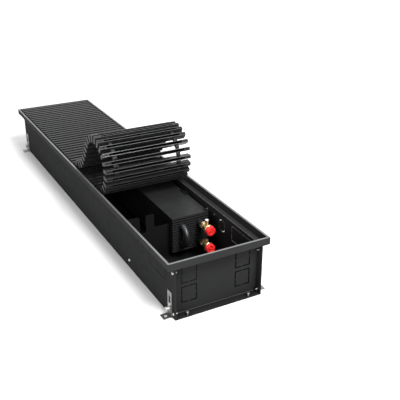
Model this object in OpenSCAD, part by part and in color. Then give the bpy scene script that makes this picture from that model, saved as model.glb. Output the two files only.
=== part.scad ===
// Trench convector heater with a roll-up grille, its near bars rolled back over the rest.
// X runs across the trench, Y along it with the water connections at -Y, and +Z is up.
// The origin is the middle of the footprint, on the floor that the feet stand on.

/* [Casing] */
// Width over the rim
rim_w = 260; // [240:1:300]
// Length over the rim
rim_l = 1216; // [1100:1:1400]
// Height from the floor to the top of the rim
casing_h = 150; // [135:1:180]
// Thickness of the casing's sheet steel
sheet = 1.5; // [1:0.1:2]
// Width of the rim's flat top edge
rim_lip = 5.5; // [4.5:0.1:7]
// How far the rim stands out beyond each side wall
side_overhang = 17.5; // [15:0.1:19]
// How far the rim stands out beyond each end
end_overhang = 3; // [2:0.1:4]
// Height of the rim's skirt along the sides
side_skirt_h = 15; // [12:0.1:18]
// Height of the rim's skirt at the ends
end_skirt_h = 18; // [14:0.1:20]
// Depth of the recess in front of each end plate
end_recess = 18; // [15:0.1:24]

/* [Grille] */
// Distance from one bar to the next
bar_pitch = 19.7; // [18.5:0.1:21]
// Width of a bar's top face
bar_w = 9.5; // [8:0.1:10.5]
// Height of a bar
bar_h = 18.4; // [16:0.1:19]
// Wall thickness of the bar's profile
bar_sheet = 1.4; // [1:0.1:1.8]
// Gap between a bar's end and the rim
bar_end_gap = 4; // [2:0.1:5]
// Length of the plug in each end of a bar
plug_l = 18; // [12:0.5:24]
// Width of a spacer, across the trench
spacer_w = 9; // [6:0.5:12]
// Distance from the grille's middle to each row of spacers
spacer_x = 88; // [60:1:95]

/* [Rolled end of the grille] */
// How far each bar on the slope turns back against the roll, in degrees
slope_turn = 2; // [1:0.5:3]

/* [Heat exchanger] */
// Width of the fins
fin_w = 104; // [96:1:106]
// Height of the fins
fin_h = 98; // [90:1:99]
// Height of the fins above the trough's outer floor
fin_base = 16; // [14:1:20]
// Distance from one fin to the next
fin_pitch = 8; // [7:0.5:12]
// Thickness of one fin
fin_sheet = 0.8; // [0.6:0.1:1.5]
// Outside radius of a water tube
tube_r = 8; // [7:0.1:9]
// Wall thickness of a water tube
tube_wall = 1; // [0.8:0.1:1.2]
// Distance between neighbouring water tubes
tube_gap = 50; // [46:1:52]
// Distance from the near rim edge to the fins
connection_l = 250; // [240:1:270]
// Distance from the far rim edge to the fins
far_chamber_l = 74; // [72:1:110]

/* [Valves] */
// Radius of a valve's body
valve_r = 13; // [12:0.1:14]
// Radius of the pipe thread under a cap, measured over its crests
thread_r = 10.45; // [10:0.05:11]
// Length of the pipe thread
thread_l = 14; // [12:0.5:16]
// Outside radius of a protective cap
cap_r = 15; // [14:0.1:16]

/* [Feet] */
// Width of a foot bracket along the trench
foot_w = 20.5; // [18:0.1:24]
// Height of a foot bracket
foot_h = 64.5; // [60:0.5:70]
// How far a foot reaches out from the side wall
foot_reach = 21.5; // [18:0.1:24]
// How far a foot can be let down
foot_travel = 18; // [10:1:18]
// Radius of the anchor hole in a foot
anchor_r = 3.5; // [2.5:0.1:4.5]

/* [Hidden] */
// Bars of the rolled end: round the roll, down its slope, and lying on the grille
roll_links = 15;
slope_links = 4;
tail_links = 3;
link_count = roll_links + slope_links + tail_links;

// Colours, as the photo shows them
casing_colour = [0.16, 0.16, 0.17];
bar_colour = [0.22, 0.22, 0.23];
plug_colour = [0.55, 0.55, 0.56];
spacer_colour = [0.08, 0.08, 0.09];
fin_colour = [0.20, 0.20, 0.21];
zinc_colour = [0.78, 0.78, 0.76];
tube_colour = [0.13, 0.13, 0.14];
brass_colour = [0.72, 0.55, 0.28];
cap_colour = [0.80, 0.10, 0.08];

// Overrun of every cut, and the gap left between pieces that are fitted to each other
cut = 1;
fitted = 0.03;
slide_gap = 0.3;
run_gap = 0.06;
screw_gap = 0.15;
round_fn = 48;
small_fn = 24;

// Casing
half_w = rim_w / 2;
half_l = rim_l / 2;
wall_out = half_w - side_overhang;
wall_in = wall_out - sheet;
body_half_l = half_l - end_overhang;
bar_seat = 0.2;
ledge_z = casing_h - bar_h - bar_seat;
wall_top = ledge_z - sheet;
lip_in = half_w - rim_lip;
plate_y = body_half_l - end_recess;
rail_l = rim_l - 2 * sheet;

// Knock-outs: thin slots through the sheet, with the tabs that hold the blank
slot_w = 1.2;
tab_w = 3;
square_w = 38;
square_h = 40;
square_x = 69.5;
square_low_z = 29.5;
square_high_z = 80;
long_w = 91;
long_h = 40;
long_from_near = 47.5;
long_z = 80;
disc_r = 16;
disc_from_near = 187;
disc_z = 98;

// Screws, by their distance from the near rim edge and their height
screw_r = 1.9;
screw_l = 9;
head_r = 3.6;
head_h = 2.2;
recess_w = 0.9;
recess_share = 0.6;
head_top_share = 0.8;
end_screw_from_end = 13;
end_screw_z = [11, 117.5];
corner_screw_from_end = 31;
corner_screw_z = 115;
inner_screws_from_near = [222.5, 260.5, 380.5];
inner_screw_z = 114;
partition_low_screw_z = 22;
floor_screw_x = 80;
floor_screw_from_end = 7;
floor_screw_l = 10;

// Partition plate between the connection chamber and the air channel
partition_from_near = 267;
partition_flange = 14;
partition_top_gap = 1;
notch_x = -70;
notch_r = 8;
notch_floor_share = 0.63;
shoulder_x = -39;
low_share = 0.72;
partition_corner = 5;

// Heat exchanger
fin_right_gap = 4.5;
fin_x = wall_in - fin_right_gap - fin_w / 2;
fin_near = connection_l - half_l;
fin_far = half_l - far_chamber_l;
fin_mid_z = fin_base + fin_h / 2;
collar = 1.1;
fold_gap = 1.2;
fin_bore_r = tube_r + fitted;
fin_count = floor((fin_far - fin_near - fin_sheet) / fin_pitch) + 1;
fin_pack_l = (fin_count - 1) * fin_pitch + fin_sheet;
pack_far = fin_near + fin_pack_l;
rib_count = 15;
rib_flank_shares = [0.15, 0.4, 0.6, 0.85];
rib_depth = 1.4;
end_sheet = 1;
ribbed_t = end_sheet + rib_depth;
tube_x = [fin_x - tube_gap / 2, fin_x + tube_gap / 2];
tube_z = [fin_mid_z - tube_gap / 2, fin_mid_z + tube_gap / 2];
stub_l = 4;
bend_y = fin_near - ribbed_t - stub_l;
bend_far_y = pack_far + ribbed_t + stub_l;
saddle_l = 40;
saddle_inset = 30;
hanger_l = 30;
hanger_drop = 22;
hanger_lip = 9;
hanger_near_l = 62;

// Valves, from the tube towards the near end
nut_l = 11;
nut_r = 15.6;
barrel_l = 27;
collar_l = 5;
collar_step = 1.2;
collar_r = valve_r + collar_step;
boss_r = 4.5;
boss_h = 5;
vent_r = 3;
vent_h = 6;
vent_stem_r = 1.5;
vent_stem_l = 4;
tube_proud = 18.5;
nut_y = fin_near - ribbed_t - tube_proud;
barrel_y = nut_y - barrel_l;
thread_y = barrel_y - thread_l;
vent_setback = 5.3;
seat_r = 7.75;
vent_y = barrel_y + vent_setback;

// Protective caps
cap_floor = 2;
cap_tip_gap = 1;
cap_rear_gap = 1.5;
cap_overlap = thread_l - cap_rear_gap;
cap_rib_r = 1.1;
cap_ribs = 16;
cap_ring_r = 9;
cap_relief = 1.2;

// Feet
foot_from_end = 28.5;
foot_slot_r = 3.75;
foot_slot_top = 52;
foot_slot_low = 13;
guide_z = foot_slot_top - foot_slot_r - foot_travel;
guide_r = 2.4;
clamp_drop = 11;
clamp_z = guide_z - clamp_drop;
clamp_r = 3;
clamp_head_r = 5.5;
clamp_head_h = 5;
clamp_stand = 3;
washer_r = 6.2;
washer_h = 1.2;
peg_hole_r = 1.8;
peg_hole_z = 5.5;
foot_x = wall_out + slide_gap;
anchor_from_tip = 10;
anchor_x = foot_x + foot_reach - anchor_from_tip;
emboss_r = 6.5;
emboss_h = 0.6;

// Grille bars: the first one lies near the connection end
opening_l = rim_l - 2 * rim_lip;
bar_count = floor((opening_l - bar_w - 2 * bar_end_gap) / bar_pitch) + 1;
bar_span = (bar_count - 1) * bar_pitch;
bar_l = 2 * (lip_in - bar_end_gap);
bar_z = casing_h - bar_h / 2;
bar_space = bar_pitch - bar_w;
plug_gap = 0.1;
plug_hole_r = 1.6;

// Hinges between bars: a spacer's round nose rolls against the next bar's flank
nose_r = 4.5;
nose_off = nose_r + slide_gap;
spacer_reach = bar_space - nose_off;
bar_off = spacer_reach + bar_w / 2;

// The roll: each link turns by turns[i] degrees against the one before it
roll_clear = 0.4;
roll_rise = bar_h + roll_clear;

function link_turns(extra) = concat(
    [for (i = [1 : roll_links]) (180 + extra) / roll_links],
    [for (i = [1 : slope_links]) -slope_turn],
    [for (i = [1 : tail_links]) -(extra - slope_links * slope_turn) / tail_links]);

// Running totals of a list, one per entry
function totals(list) =
    [for (i = 0, sum = list[0]; i < len(list); i = i + 1, sum = sum + (i < len(list) ? list[i] : 0))
        sum];

// Height of each hinge above the first one
function heights(headings) = concat([0], totals([for (a = headings) bar_pitch * sin(a)]));

// How far past half a turn the roll goes, found by halving, so that its last bars lie on the grille
function settle(low, high, steps) =
    let (mid = (low + high) / 2,
         rise = heights(totals(link_turns(mid)))[link_count - 1])
    steps == 0 ? mid : rise > roll_rise ? settle(mid, high, steps - 1) : settle(low, mid, steps - 1);

turns = link_turns(settle(slope_links * slope_turn, 90, 40));
headings = totals(turns);
hinge_rise = heights(headings);
hinge_run = concat([0], totals([for (a = headings) bar_pitch * cos(a)]));
first_flat_y = link_count * bar_pitch - bar_span / 2;
root_hinge_y = first_flat_y - bar_w / 2 - nose_off;

function bar_y(i) = i * bar_pitch - bar_span / 2;
function from_near(d) = d - half_l;
function from_far(d) = half_l - d;

// A cylinder along X from x, with its axis at y and z
module rod_x(x, y, z, l, r, fn = small_fn) {
    translate([x, y, z]) rotate([0, 90, 0]) cylinder(h = l, r = r, $fn = fn);
}

// A cylinder along Y from y, with its axis at x and z
module rod_y(x, y, z, l, r, fn = round_fn) {
    translate([x, y, z]) rotate([-90, 0, 0]) cylinder(h = l, r = r, $fn = fn);
}

// The same shape on both sides of the trench
module both_sides() {
    children();
    mirror([1, 0, 0]) children();
}

// The same shape at both ends of the trench
module both_ends() {
    children();
    mirror([0, 1, 0]) children();
}

// Outline of a rectangular knock-out's slots, with a tab in the middle of each side
module knock_out_slots(w, h) {
    difference() {
        square([w, h]);
        translate([slot_w, slot_w]) square([w - 2 * slot_w, h - 2 * slot_w]);
        translate([(w - tab_w) / 2, -cut]) square([tab_w, h + 2 * cut]);
        translate([-cut, (h - tab_w) / 2]) square([w + 2 * cut, tab_w]);
    }
}

// Outline of a round knock-out's slots, with two tabs
module disc_slots(r) {
    difference() {
        circle(r = r, $fn = round_fn);
        circle(r = r - slot_w, $fn = round_fn);
        translate([-r - cut, -tab_w / 2]) square([2 * (r + cut), tab_w]);
    }
}

// A pan-head screw with a cross recess; its head stands on the XY plane and it points down
module screw(r, l, head_r, head_h) {
    difference() {
        union() {
            translate([0, 0, -l]) cylinder(h = l, r = r, $fn = small_fn);
            cylinder(h = head_h, r1 = head_r, r2 = head_r * head_top_share, $fn = small_fn);
        }
        for (turn = [0, 90])
            rotate(turn)
                translate([-head_r * recess_share, -recess_w / 2, head_h / 2])
                    cube([2 * head_r * recess_share, recess_w, head_h]);
    }
}

// A screw through the right-hand wall, its head outside
module wall_screw(y, z, l = screw_l) {
    translate([wall_out, y, z]) rotate([0, 90, 0]) screw(screw_r, l, head_r, head_h);
}

// Screws in the end recesses, those that both walls have further in, and the partition's own
end_screw_spots = [for (z = end_screw_z) [end_screw_from_end, z]];
inner_screw_spots = [for (d = inner_screws_from_near) [d, inner_screw_z]];
partition_screw_spots = [for (z = [partition_low_screw_z, inner_screw_z]) [inner_screws_from_near[1], z]];

module trough() {
    color(casing_colour) difference() {
        translate([-wall_out, -body_half_l, 0]) cube([2 * wall_out, 2 * body_half_l, wall_top]);
        translate([-wall_in, -body_half_l - cut, sheet])
            cube([2 * wall_in, 2 * (body_half_l + cut), wall_top]);
        // knock-outs for the pipes, in both side walls
        translate([-wall_out - cut, from_near(long_from_near), long_z])
            rotate([90, 0, 90]) linear_extrude(2 * (wall_out + cut)) knock_out_slots(long_w, long_h);
        translate([-wall_out - cut, from_near(disc_from_near), disc_z])
            rotate([90, 0, 90]) linear_extrude(2 * (wall_out + cut)) disc_slots(disc_r);
        // screw holes
        both_ends() for (spot = end_screw_spots)
            rod_x(-wall_out - cut, from_near(spot[0]), spot[1], 2 * (wall_out + cut), screw_r + screw_gap);
        both_ends()
            rod_x(-wall_out - cut, from_near(corner_screw_from_end), corner_screw_z,
                  2 * (wall_out + cut), screw_r + screw_gap);
        for (spot = inner_screw_spots)
            rod_x(-wall_out - cut, from_near(spot[0]), spot[1], 2 * (wall_out + cut), screw_r + screw_gap);
        rod_x(-wall_out - cut, from_near(inner_screws_from_near[1]), partition_low_screw_z,
              sheet + 2 * cut, screw_r + screw_gap);
        both_ends() for (side = [-1, 1])
            translate([side * floor_screw_x, from_near(floor_screw_from_end), -cut])
                cylinder(h = sheet + 2 * cut, r = screw_r + screw_gap, $fn = small_fn);
        both_ends() for (z = [guide_z, clamp_z])
            rod_x(-wall_out - cut, from_near(foot_from_end), z, 2 * (wall_out + cut),
                  (z == guide_z ? guide_r : clamp_r) + screw_gap);
    }
}

// Cross-section of a side rail: skirt, lip and inner wall
module side_rail(side) {
    color(casing_colour) mirror([side < 0 ? 1 : 0, 0, 0]) {
        translate([half_w - sheet, sheet - half_l, casing_h - side_skirt_h])
            cube([sheet, rail_l, side_skirt_h]);
        translate([lip_in, sheet - half_l, casing_h - sheet]) cube([rim_lip, rail_l, sheet]);
        translate([lip_in, sheet - half_l, ledge_z]) cube([sheet, rail_l, casing_h - ledge_z]);
    }
}

module side_rail_left() {
    side_rail(-1);
}

module side_rail_right() {
    side_rail(1);
}

// Ledges on the long walls that the bars' ends lie on
module side_ledges() {
    color(casing_colour) both_sides()
        translate([wall_in, -body_half_l, wall_top]) cube([lip_in - fitted - wall_in, 2 * body_half_l, sheet]);
}

// Rim across one end, its skirt in front of the side rails' ends
module end_rail() {
    color(casing_colour) {
        translate([-half_w, -half_l, casing_h - end_skirt_h]) cube([rim_w, sheet, end_skirt_h]);
        translate([-lip_in, -half_l, casing_h - sheet]) cube([2 * lip_in, rim_lip, sheet]);
        translate([-lip_in, rim_lip - sheet - half_l, ledge_z]) cube([2 * lip_in, sheet, casing_h - ledge_z]);
        translate([-wall_in, -body_half_l, wall_top]) cube([2 * wall_in, end_recess + sheet, sheet]);
    }
}

module end_rail_near() {
    end_rail();
}

module end_rail_far() {
    mirror([0, 1, 0]) end_rail();
}

// End plate: a pan whose flanges point outwards, with four square knock-outs
module end_plate() {
    color(casing_colour) difference() {
        union() {
            translate([-wall_in, -plate_y, sheet]) cube([2 * wall_in, sheet, wall_top - sheet]);
            translate([-wall_in, -body_half_l, sheet]) cube([2 * wall_in, end_recess + sheet, sheet]);
            for (side = [-1, 1])
                translate([side < 0 ? -wall_in : wall_in - sheet, -body_half_l, sheet])
                    cube([sheet, end_recess + sheet, wall_top - sheet]);
        }
        for (x = [-square_x, square_x], z = [square_low_z, square_high_z])
            translate([x - square_w / 2, sheet + cut - plate_y, z])
                rotate([90, 0, 0]) linear_extrude(sheet + 2 * cut) knock_out_slots(square_w, square_h);
        for (spot = end_screw_spots)
            rod_x(-wall_in - cut, from_near(spot[0]), spot[1], 2 * (wall_in + cut), screw_r + screw_gap);
        for (side = [-1, 1])
            translate([side * floor_screw_x, from_near(floor_screw_from_end), 0])
                cylinder(h = 2 * sheet + cut, r = screw_r + screw_gap, $fn = small_fn);
    }
}

module end_plate_near() {
    end_plate();
}

module end_plate_far() {
    mirror([0, 1, 0]) end_plate();
}

module end_plate_screws() {
    color(zinc_colour) both_sides() both_ends()
        for (spot = end_screw_spots) wall_screw(from_near(spot[0]), spot[1]);
}

// Long screws that stand up out of the end plates' floor flanges
module floor_screws() {
    color(zinc_colour) both_sides() both_ends()
        translate([floor_screw_x, from_near(floor_screw_from_end), 2 * sheet + floor_screw_l - head_h])
            screw(screw_r, 2 * sheet + floor_screw_l - head_h - fitted, head_r, head_h);
}

module wall_screws() {
    color(zinc_colour) {
        both_sides() {
            both_ends() wall_screw(from_near(corner_screw_from_end), corner_screw_z, 2 * sheet);
            for (spot = inner_screw_spots) wall_screw(from_near(spot[0]), spot[1], 2.5 * sheet);
        }
        mirror([1, 0, 0])
            wall_screw(from_near(inner_screws_from_near[1]), partition_low_screw_z, 2.5 * sheet);
    }
}

// Outline of the partition plate, seen from the connection chamber
module partition_outline() {
    low = -wall_in;
    high = fin_x - fin_w / 2 - slide_gap;
    top = ledge_z - partition_top_gap;
    difference() {
        translate([low, sheet]) square([high - low, top - sheet]);
        // deep slot with a round floor, for pipes and cables
        translate([notch_x, top * notch_floor_share + notch_r]) circle(r = notch_r, $fn = small_fn);
        translate([notch_x - notch_r, top * notch_floor_share + notch_r]) square([2 * notch_r, top]);
        // chamfer that leads into the slot
        translate([notch_x - notch_r, top]) rotate(45) square(partition_corner, center = true);
        // low stretch beside the heat exchanger
        translate([shoulder_x, top * low_share]) square([high - shoulder_x + cut, top]);
    }
}

module partition_plate() {
    y = from_near(partition_from_near);
    top = ledge_z - partition_top_gap;
    color(casing_colour) difference() {
        union() {
            translate([0, y + sheet, 0]) rotate([90, 0, 0]) linear_extrude(sheet) partition_outline();
            translate([-wall_in, y - partition_flange, sheet])
                cube([sheet, partition_flange + sheet, top - sheet]);
            translate([-wall_in, y - partition_flange, sheet])
                cube([fin_x - fin_w / 2 - slide_gap + wall_in, partition_flange + sheet, sheet]);
        }
        for (spot = partition_screw_spots)
            rod_x(-wall_in - cut, from_near(spot[0]), spot[1], sheet + 2 * cut, screw_r + screw_gap);
    }
}

// Places of the four tubes, seen along the trench
module at_tubes() {
    for (x = tube_x, z = tube_z) translate([x, z]) children();
}

// Fins on the tubes; each fin's collars and folded top edge reach the next fin
module exchanger_fins() {
    color(fin_colour) translate([0, pack_far, 0]) rotate([90, 0, 0]) difference() {
        union() {
            for (i = [0 : fin_count - 1])
                translate([fin_x - fin_w / 2, fin_base, i * fin_pitch]) cube([fin_w, fin_h, fin_sheet]);
            for (i = [0 : fin_count - 2])
                translate([fin_x - fin_w / 2, fin_base + fin_h - fin_sheet, i * fin_pitch])
                    cube([fin_w, fin_sheet, fin_pitch - fold_gap]);
            at_tubes() cylinder(h = fin_pack_l, r = tube_r + collar, $fn = small_fn);
        }
        translate([0, 0, -cut]) at_tubes() cylinder(h = fin_pack_l + 2 * cut, r = fin_bore_r, $fn = small_fn);
    }
}

// Outline of a ribbed sheet, seen along its ribs
module ribbed_outline(h, ribs, t, depth) {
    step = h / ribs;
    flanks = rib_flank_shares;
    front = [for (i = [0 : ribs - 1], k = [0 : 3])
        [k == 0 || k == 3 ? depth : 0, (i + flanks[k]) * step]];
    polygon(concat([[depth + t, 0], [depth, 0]], front, [[depth, h], [depth + t, h]]));
}

// Sheet with pressed ribs that closes one end of the fins
module ribbed_plate() {
    difference() {
        translate([fin_x - fin_w / 2, 0, fin_base]) rotate([90, 0, 90])
            linear_extrude(fin_w) ribbed_outline(fin_h, rib_count, end_sheet, rib_depth);
        translate([0, ribbed_t + cut, 0]) rotate([90, 0, 0])
            at_tubes() cylinder(h = ribbed_t + 2 * cut, r = fin_bore_r, $fn = small_fn);
    }
}

module exchanger_end_plates() {
    color(fin_colour) {
        translate([0, fin_near - ribbed_t, 0]) ribbed_plate();
        translate([0, pack_far + ribbed_t, 0]) mirror([0, 1, 0]) ribbed_plate();
    }
}

// A straight tube along Y between two stations
module tube(x, z, from, to) {
    difference() {
        rod_y(x, from, z, to - from, tube_r, small_fn);
        rod_y(x, from - cut, z, to - from + 2 * cut, tube_r - tube_wall, small_fn);
    }
}

// Two tubes end at the near bend and two at the valves
module exchanger_tubes() {
    color(tube_colour) for (z = tube_z) {
        tube(tube_x[0], z, bend_y, bend_far_y);
        tube(tube_x[1], z, nut_y, bend_far_y);
    }
}

// Half a turn of tube in the XY plane, opening towards -Y, its middle at the origin
module half_bend() {
    rotate_extrude(angle = 180, $fn = round_fn) translate([tube_gap / 2, 0]) difference() {
        circle(r = tube_r, $fn = small_fn);
        circle(r = tube_r - tube_wall, $fn = small_fn);
    }
}

module return_bend_near() {
    color(tube_colour) translate([tube_x[0], bend_y, fin_mid_z]) rotate([0, 90, 180]) half_bend();
}

module return_bends_far() {
    color(tube_colour) for (z = tube_z) translate([fin_x, bend_far_y, z]) half_bend();
}

// Bent sheet under the fins, near each end
module saddle(y) {
    for (x = [fin_x - fin_w / 2, fin_x + fin_w / 2 - sheet])
        translate([x, y, sheet]) cube([sheet, saddle_l, fin_base - sheet]);
    translate([fin_x - fin_w / 2, y, fin_base - sheet]) cube([fin_w, saddle_l, sheet]);
}

module exchanger_saddles() {
    color(casing_colour) {
        saddle(fin_near + saddle_inset);
        saddle(pack_far - saddle_inset - saddle_l);
    }
}

// Strip on the right-hand wall with a lip over the fins
module hanger(y, l, lip_y, lip_l) {
    top = fin_base + fin_h + sheet;
    difference() {
        union() {
            translate([wall_in - sheet, y, top - hanger_drop]) cube([sheet, l, hanger_drop]);
            translate([fin_x + fin_w / 2 - hanger_lip, lip_y, top - sheet])
                cube([hanger_lip + fin_right_gap, lip_l, sheet]);
        }
        for (spot = inner_screw_spots)
            rod_x(wall_in - sheet - cut, from_near(spot[0]), spot[1], sheet + 2 * cut, screw_r + screw_gap);
    }
}

module exchanger_hangers() {
    color(casing_colour) {
        hanger(from_near(inner_screws_from_near[0] - hanger_l / 2), hanger_near_l, fin_near, hanger_l / 2);
        hanger(from_near(inner_screws_from_near[2] - hanger_l / 2), hanger_l,
               from_near(inner_screws_from_near[2] - hanger_l / 2), hanger_l);
        hanger(pack_far - saddle_inset, hanger_l, pack_far - saddle_inset, hanger_l);
    }
}

// Valve on the end of a tube: nut, barrel, collar and the pipe thread that the cap covers
module valve(z) {
    x = tube_x[1];
    difference() {
        union() {
            translate([x, nut_y + nut_l, z]) rotate([90, 0, 0]) cylinder(h = nut_l, r = nut_r, $fn = 6);
            rod_y(x, barrel_y, z, barrel_l, valve_r);
            rod_y(x, barrel_y, z, collar_l, collar_r);
            rod_y(x, thread_y, z, thread_l, thread_r);
        }
        rod_y(x, nut_y - fitted, z, nut_l + cut, tube_r + fitted);
        rod_y(x, thread_y - cut, z, nut_y - thread_y + cut, tube_r - tube_wall);
        rod_y(x, thread_y - cut, z, thread_l + cut, seat_r);
    }
}

// Valve with a drilled boss on top
module bossed_valve(z) {
    color(brass_colour) difference() {
        union() {
            valve(z);
            translate([tube_x[1], vent_y, z + valve_r - boss_h])
                cylinder(h = 2 * boss_h, r = boss_r, $fn = small_fn);
        }
        translate([tube_x[1], vent_y, z + valve_r + boss_h - vent_stem_l])
            cylinder(h = vent_stem_l + cut, r = vent_stem_r + run_gap, $fn = small_fn);
    }
}

module flow_valve() {
    bossed_valve(tube_z[1]);
}

module return_valve() {
    bossed_valve(tube_z[0]);
}

// Bleed screw: a slotted knob on a stem
module air_vent() {
    top = tube_z[1] + valve_r + boss_h;
    color(zinc_colour) translate([tube_x[1], vent_y, top]) difference() {
        union() {
            translate([0, 0, fitted]) cylinder(h = vent_h, r = vent_r, $fn = small_fn);
            translate([0, 0, slide_gap - vent_stem_l])
                cylinder(h = vent_stem_l, r = vent_stem_r, $fn = small_fn);
        }
        translate([-vent_r - cut, -recess_w / 2, vent_h - recess_w])
            cube([2 * (vent_r + cut), recess_w, vent_h]);
    }
}

// Protective cap over a pipe thread, with grip ribs and a raised ring and bar on its face
module cap(z) {
    tip = thread_y - cap_tip_gap;
    length = cap_floor + cap_tip_gap + cap_overlap;
    translate([tube_x[1], tip - cap_floor, z]) rotate([-90, 0, 0]) difference() {
        union() {
            cylinder(h = length, r = cap_r - cap_rib_r, $fn = round_fn);
            for (i = [0 : cap_ribs - 1])
                rotate(i * 360 / cap_ribs) translate([cap_r - cap_rib_r, 0, 0])
                    cylinder(h = length, r = cap_rib_r, $fn = small_fn);
            difference() {
                translate([0, 0, -cap_relief]) cylinder(h = cap_relief, r = cap_ring_r, $fn = round_fn);
                translate([0, 0, -cap_relief - cut])
                    cylinder(h = cap_relief + cut, r = cap_ring_r - cap_floor, $fn = round_fn);
            }
            translate([-cap_ring_r, -cap_floor, -cap_relief])
                cube([2 * cap_ring_r, 2 * cap_floor, cap_relief]);
        }
        translate([0, 0, cap_floor]) cylinder(h = length, r = thread_r + run_gap, $fn = round_fn);
    }
}

module flow_cap() {
    color(cap_colour) cap(tube_z[1]);
}

module return_cap() {
    color(cap_colour) cap(tube_z[0]);
}

// Foot bracket on the right-hand wall at the near end: slotted strip and foot plate
module foot() {
    y = from_near(foot_from_end);
    difference() {
        union() {
            translate([foot_x, y - foot_w / 2, 0]) cube([sheet, foot_w, foot_h]);
            translate([foot_x, y - foot_w / 2, 0]) cube([foot_reach, foot_w, sheet]);
            translate([anchor_x, y, sheet]) cylinder(h = emboss_h, r = emboss_r, $fn = small_fn);
        }
        // slot that slides on the guide screw and the clamp bolt
        for (z = [foot_slot_low + foot_slot_r, foot_slot_top - foot_slot_r])
            rod_x(foot_x - cut, y, z, sheet + 2 * cut, foot_slot_r);
        translate([foot_x - cut, y - foot_slot_r, foot_slot_low + foot_slot_r])
            cube([sheet + 2 * cut, 2 * foot_slot_r, foot_slot_top - foot_slot_low - 2 * foot_slot_r]);
        rod_x(foot_x - cut, y, peg_hole_z, sheet + 2 * cut, peg_hole_r);
        translate([anchor_x, y, -cut]) cylinder(h = sheet + emboss_h + 2 * cut, r = anchor_r, $fn = small_fn);
    }
}

module foot_near_right() {
    color(zinc_colour) foot();
}

module foot_near_left() {
    color(zinc_colour) mirror([1, 0, 0]) foot();
}

module foot_far_right() {
    color(zinc_colour) mirror([0, 1, 0]) foot();
}

module foot_far_left() {
    color(zinc_colour) mirror([1, 0, 0]) mirror([0, 1, 0]) foot();
}

// Knurled bolt that clamps a foot to the wall, with its washer
module clamp_bolt() {
    y = from_near(foot_from_end);
    outside = foot_x + sheet + slide_gap;
    rod_x(wall_in - sheet, y, clamp_z, outside + washer_h + clamp_stand - wall_in + sheet, clamp_r);
    rod_x(outside, y, clamp_z, washer_h, washer_r);
    rod_x(outside + washer_h + clamp_stand, y, clamp_z, clamp_head_h, clamp_head_r);
}

module foot_clamp_bolts() {
    color(zinc_colour) both_sides() both_ends() clamp_bolt();
}

// Small screw that keeps a foot upright as it slides
module foot_guide_screws() {
    outside = foot_x + sheet + slide_gap;
    color(zinc_colour) both_sides() both_ends()
        translate([outside, from_near(foot_from_end), guide_z]) rotate([0, 90, 0])
            screw(guide_r, outside - wall_in + sheet, foot_slot_r + slide_gap, head_h);
}

// One bar, its middle at the origin: a profile that is open below
module bar() {
    difference() {
        translate([-bar_l / 2, -bar_w / 2, -bar_h / 2]) cube([bar_l, bar_w, bar_h]);
        translate([-bar_l / 2 - cut, bar_sheet - bar_w / 2, -bar_h / 2 - cut])
            cube([bar_l + 2 * cut, bar_w - 2 * bar_sheet, bar_h - bar_sheet + cut]);
    }
}

// Plug in the right-hand end of a bar, with a pin hole in its underside
module plug() {
    w = bar_w - 2 * (bar_sheet + plug_gap);
    h = bar_h - bar_sheet - plug_gap;
    difference() {
        translate([bar_l / 2 - plug_l, -w / 2, -bar_h / 2]) cube([plug_l, w, h]);
        translate([(bar_l - plug_l) / 2, 0, -bar_h / 2 - cut])
            cylinder(h = h / 2 + cut, r = plug_hole_r, $fn = small_fn);
    }
}

// Spacer on a bar's far flank; its round nose turns about the hinge line
module spacer() {
    for (x = [-spacer_x, spacer_x]) {
        translate([x - spacer_w / 2, bar_w / 2 + fitted, -nose_r])
            cube([spacer_w, spacer_reach - fitted, 2 * nose_r]);
        rod_x(x - spacer_w / 2, bar_w / 2 + spacer_reach, 0, spacer_w, nose_r, small_fn);
    }
}

module grille_bars() {
    color(bar_colour) for (i = [link_count : bar_count - 1]) translate([0, bar_y(i), bar_z]) bar();
}

module grille_spacers() {
    color(spacer_colour) for (i = [link_count : bar_count - 2]) translate([0, bar_y(i), bar_z]) spacer();
}

module grille_end_plugs() {
    color(plug_colour) for (i = [link_count : bar_count - 1])
        translate([0, bar_y(i), bar_z]) both_sides() plug();
}

// One rolled bar with its spacers and plugs, turned about its hinge line
module grille_link(i) {
    translate([0, root_hinge_y - hinge_run[i - 1], bar_z + hinge_rise[i - 1]])
        rotate([-headings[i - 1], 0, 0]) translate([0, -bar_off, 0]) {
            color(bar_colour) bar();
            color(spacer_colour) spacer();
            color(plug_colour) both_sides() plug();
        }
}

trough();
side_rail_left();
side_rail_right();
side_ledges();
end_rail_near();
end_rail_far();
end_plate_near();
end_plate_far();
end_plate_screws();
floor_screws();
wall_screws();
partition_plate();
exchanger_fins();
exchanger_end_plates();
exchanger_tubes();
return_bend_near();
return_bends_far();
exchanger_saddles();
exchanger_hangers();
flow_valve();
return_valve();
air_vent();
flow_cap();
return_cap();
foot_near_left();
foot_near_right();
foot_far_left();
foot_far_right();
foot_clamp_bolts();
foot_guide_screws();
grille_bars();
grille_spacers();
grille_end_plugs();
grille_link(1);  // grille_link_01
grille_link(2);  // grille_link_02
grille_link(3);  // grille_link_03
grille_link(4);  // grille_link_04
grille_link(5);  // grille_link_05
grille_link(6);  // grille_link_06
grille_link(7);  // grille_link_07
grille_link(8);  // grille_link_08
grille_link(9);  // grille_link_09
grille_link(10);  // grille_link_10
grille_link(11);  // grille_link_11
grille_link(12);  // grille_link_12
grille_link(13);  // grille_link_13
grille_link(14);  // grille_link_14
grille_link(15);  // grille_link_15
grille_link(16);  // grille_link_16
grille_link(17);  // grille_link_17
grille_link(18);  // grille_link_18
grille_link(19);  // grille_link_19
grille_link(20);  // grille_link_20
grille_link(21);  // grille_link_21
grille_link(22);  // grille_link_22
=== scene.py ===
import math

import bmesh
import bpy
from mathutils import Matrix, Vector


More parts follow.
